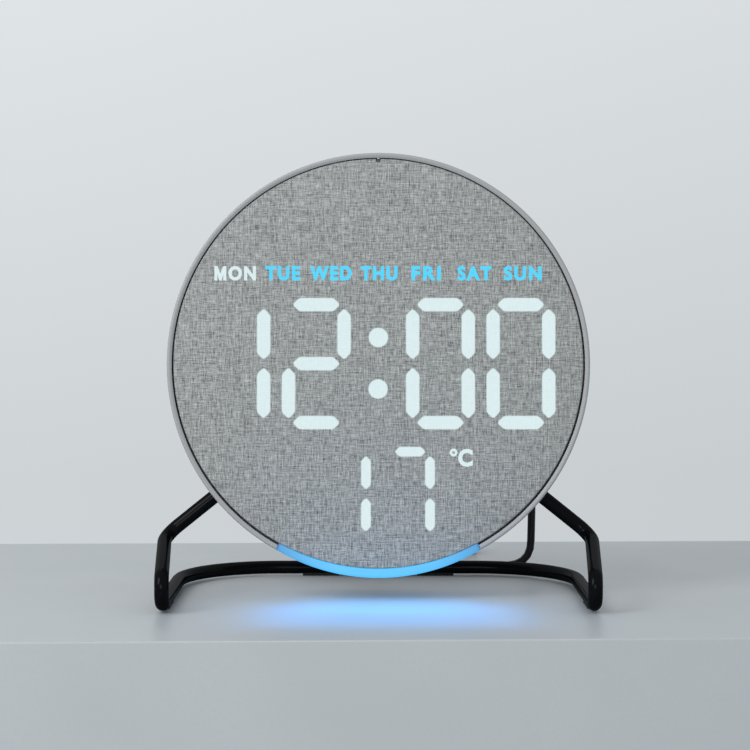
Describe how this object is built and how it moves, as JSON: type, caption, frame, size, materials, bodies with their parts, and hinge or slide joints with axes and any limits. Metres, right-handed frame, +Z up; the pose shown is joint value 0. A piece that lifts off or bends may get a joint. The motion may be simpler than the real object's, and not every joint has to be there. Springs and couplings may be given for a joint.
{
  "type": "alarm clock",
  "caption": "Round bedside alarm clock with a light display behind cloth, a light bar under the rim, a bent steel rod stand and a power lead.",
  "frame": {"origin": "on the surface that the clock stands on, under the middle of the stand", "axes": "+X to the right seen from the front, +Y to the rear, +Z up"},
  "size_m": [0.158, 0.1694, 0.1587],
  "materials": {
    "housing_plastic": "fine grained grey",
    "cover_plastic": "fine grained dark grey",
    "cloth": "woven linen look",
    "clear_plastic": "frosted",
    "light_guide": "milky, lit from behind",
    "lamp": "clear resin",
    "mask_plastic": "white",
    "circuit_board": "green solder mask",
    "black_plastic": "satin",
    "button_plastic": "satin",
    "black_steel": "satin powder coat",
    "plated_steel": "bright",
    "brass": "turned",
    "pad_rubber": "matte",
    "cord_rubber": "matte"
  },
  "bodies": {
    "clock": {"backup_cell": "plated_steel", "board_screws": "plated_steel", "buzzer": "black_plastic", "cell_contacts": "plated_steel", "cell_holder": "black_plastic", "clock_crystal": "plated_steel", "control_board": "circuit_board", "control_board_screws": "plated_steel", "controller_chip": "black_plastic", "cord_coil": "cord_rubber", "cord_tail": "cord_rubber", "cord_tie": "black_plastic", "cord_tube": "cord_rubber", "cover_screws": "plated_steel", "dc_plug_barrel": "plated_steel", "dc_plug_body": "black_plastic", "diffuser_film": "clear_plastic", "display_board": "circuit_board", "display_driver": "black_plastic", "fabric_cover": "cloth", "foot_pads": "pad_rubber", "front_housing": "housing_plastic", "front_panel": "clear_plastic", "header_socket": "black_plastic", "light_bar": "light_guide", "light_bar_flex": "clear_plastic", "light_mask": "mask_plastic", "mood_light_board": "circuit_board", "mood_light_leds": "lamp", "pin_header": "black_plastic", "power_capacitor": "black_plastic", "power_socket": "black_plastic", "rear_cover": "cover_plastic", "segment_leds": "lamp", "stand_bush_left": "brass", "stand_bush_right": "brass", "stand_rod": "black_steel", "stand_set_screws": "plated_steel", "tact_switches": "black_plastic", "temperature_sensor": "black_plastic", "usb_plug_body": "black_plastic", "usb_plug_shell": "plated_steel"},
    "mode_button": {"mode_button": "button_plastic", "mode_plunger": "black_plastic"},
    "set_button": {"set_button": "button_plastic", "set_plunger": "black_plastic"},
    "up_button": {"up_button": "button_plastic", "up_plunger": "black_plastic"},
    "down_button": {"down_button": "button_plastic", "down_plunger": "black_plastic"},
    "battery_cap": {"battery_cap": "cover_plastic"}
  },
  "joints": [
    {"name": "mode_press", "type": "slide", "parent": "clock", "child": "mode_button", "axis": [0, -0.9976, 0.0698], "range_m": [0, 0.0005], "stiffness_N_per_m": 2000, "springref_m": -0.0001},
    {"name": "set_press", "type": "slide", "parent": "clock", "child": "set_button", "axis": [0, -0.9976, 0.0698], "range_m": [0, 0.0005], "stiffness_N_per_m": 2000, "springref_m": -0.0001},
    {"name": "up_press", "type": "slide", "parent": "clock", "child": "up_button", "axis": [0, -0.9976, 0.0698], "range_m": [0, 0.0005], "stiffness_N_per_m": 2000, "springref_m": -0.0001},
    {"name": "down_press", "type": "slide", "parent": "clock", "child": "down_button", "axis": [0, -0.9976, 0.0698], "range_m": [0, 0.0005], "stiffness_N_per_m": 2000, "springref_m": -0.0001},
    {"name": "battery_cap_turn", "type": "hinge", "parent": "clock", "child": "battery_cap", "pos_m": [-0.024, 0.01623, 0.07176], "axis": [0, 0.9976, -0.0698], "range_deg": [0, 40]}
  ]
}
